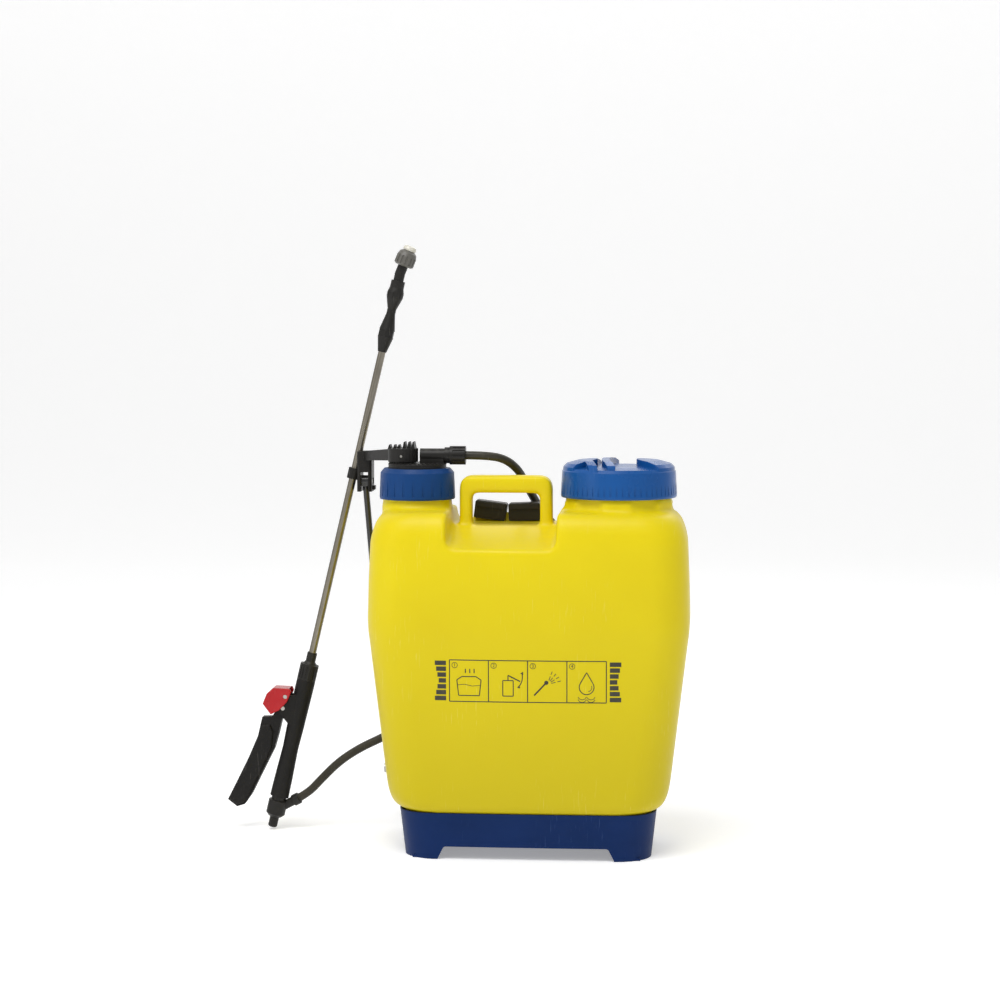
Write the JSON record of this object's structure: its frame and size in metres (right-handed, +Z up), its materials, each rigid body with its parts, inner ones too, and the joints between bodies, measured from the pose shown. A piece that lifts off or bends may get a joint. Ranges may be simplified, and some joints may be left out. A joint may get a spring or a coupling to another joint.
{
  "type": "backpack sprayer",
  "caption": "Manual backpack sprayer: blow-moulded tank on a moulded base, lever-driven piston pump, hose, trigger handle and lance with nozzle.",
  "frame": {"origin": "on the floor under the middle of the base", "axes": "+X to the right seen from outside, +Y towards the wearer's back, +Z up"},
  "size_m": [0.5637, 0.5379, 0.7122],
  "materials": {
    "tank_yellow": "blow-moulded polyethylene, satin",
    "base_navy": "injection-moulded, fine satin",
    "cap_blue": "injection-moulded, satin",
    "lid_blue": "injection-moulded, glossy",
    "black_plastic": "injection-moulded",
    "grip_black": "textured",
    "rod_black": "black coated",
    "strainer_black": "moulded",
    "pump_plastic": "natural polypropylene",
    "ball_white": "smooth",
    "seal_rubber": "soft",
    "hose_rubber": "reinforced hose, satin",
    "screw_steel": "zinc plated",
    "rod_steel": "plated tube",
    "lance_steel": "drawn stainless tube",
    "nozzle_grey": "moulded, knurled",
    "tip_white": "smooth",
    "lock_red": "smooth",
    "hook_olive": "moulded",
    "webbing": "woven polypropylene strap",
    "pad_fabric": "foam pad in woven cover"
  },
  "bodies": {
    "root": {"tank": "tank_yellow", "carry_handle": "tank_yellow", "base": "base_navy", "base_screws": "screw_steel", "fill_strainer": "strainer_black", "pump_gasket": "seal_rubber", "pump_head": "black_plastic", "rod_seal": "seal_rubber", "pump_cylinder": "pump_plastic", "pressure_chamber": "pump_plastic", "pump_foot": "black_plastic", "valve_balls": "ball_white", "outlet_nut": "black_plastic", "pivot_shaft": "screw_steel", "shaft_washers": "screw_steel", "hose_upper": "hose_rubber", "strap_hook_left": "hook_olive", "strap_hook_right": "hook_olive", "strap_left": "webbing", "strap_right": "webbing", "strap_pad_left": "pad_fabric", "strap_pad_right": "pad_fabric", "strap_buckle_left": "black_plastic", "strap_buckle_right": "black_plastic", "strap_lower_hooks": "hook_olive"},
    "pump_cap": {"pump_cap": "cap_blue"},
    "lid_seal": {"lid_gasket": "seal_rubber"},
    "fill_lid": {"fill_lid": "lid_blue"},
    "yoke": {"pump_yoke": "black_plastic", "yoke_pin": "screw_steel", "plunger_rod": "rod_steel", "piston": "black_plastic", "piston_cups": "seal_rubber", "lance_clip": "black_plastic", "lance_tube": "lance_steel", "coupling_nut": "black_plastic", "lance_adaptor": "black_plastic", "nozzle_stem": "black_plastic", "ferrule_nut": "black_plastic", "handle_body": "grip_black", "trigger_pins": "screw_steel", "handle_filter": "strainer_black", "handle_elbow": "black_plastic", "hose_nut_lance": "black_plastic", "hose_lower": "hose_rubber"},
    "trigger": {"trigger": "grip_black"},
    "trigger_lock": {"trigger_lock": "lock_red"},
    "valve_pin": {"valve_pin": "screw_steel"},
    "nozzle": {"nozzle_cap": "nozzle_grey", "nozzle_tip": "tip_white"},
    "lever": {"pump_lever": "black_plastic", "crank_pin": "screw_steel", "lever_tube": "rod_steel", "lever_grip": "grip_black"},
    "link": {"link_rod": "rod_black", "link_pin": "screw_steel"}
  },
  "joints": [
    {"name": "plunger_slide", "type": "slide", "parent": "root", "child": "yoke", "axis": [0, 0, 1], "range_m": [0, 0.0508]},
    {"name": "lever_swing", "type": "hinge", "parent": "root", "child": "lever", "pos_m": [-0.163, 0.098, 0.09], "axis": [1, 0, 0], "range_deg": [0, 50]},
    {"name": "link_swing", "type": "hinge", "parent": "lever", "child": "link", "pos_m": [-0.186, 0.15238, 0.06464], "axis": [1, 0, 0], "range_deg": [-50.2, 0]},
    {"name": "pump_cap_turn", "type": "hinge", "parent": "root", "child": "pump_cap", "pos_m": [-0.1335, 0, 0.43], "axis": [0, 0, 1], "continuous": true},
    {"name": "lid_lift", "type": "slide", "parent": "root", "child": "lid_seal", "axis": [0, 0, 1], "range_m": [0, 0.06]},
    {"name": "lid_turn", "type": "hinge", "parent": "lid_seal", "child": "fill_lid", "pos_m": [0.1035, 0, 0.44], "axis": [0, 0, 1], "continuous": true},
    {"name": "trigger_pull", "type": "hinge", "parent": "yoke", "child": "trigger", "pos_m": [-0.30728, 0.08, 0.15039], "axis": [0, -1, 0], "range_deg": [0, 9], "stiffness_Nm_per_rad": 2, "springref_deg": -2.86},
    {"name": "valve_push", "type": "slide", "parent": "yoke", "child": "valve_pin", "axis": [0.9732, 0, -0.23], "range_m": [0, 0.002]},
    {"name": "lock_swing", "type": "hinge", "parent": "yoke", "child": "trigger_lock", "pos_m": [-0.30383, 0.08, 0.16499], "axis": [0, 1, 0], "range_deg": [0, 20]},
    {"name": "nozzle_turn", "type": "hinge", "parent": "yoke", "child": "nozzle", "pos_m": [-0.16295, 0.08, 0.67835], "axis": [0.3795, 0, 0.9252], "continuous": true}
  ],
  "couplings": [
    {"joint": "plunger_slide", "follows": "lever_swing", "m_per_rad": 0.058098},
    {"joint": "link_swing", "follows": "lever_swing", "ratio": -1},
    {"joint": "valve_push", "follows": "trigger_pull", "m_per_rad": 0.0122}
  ]
}
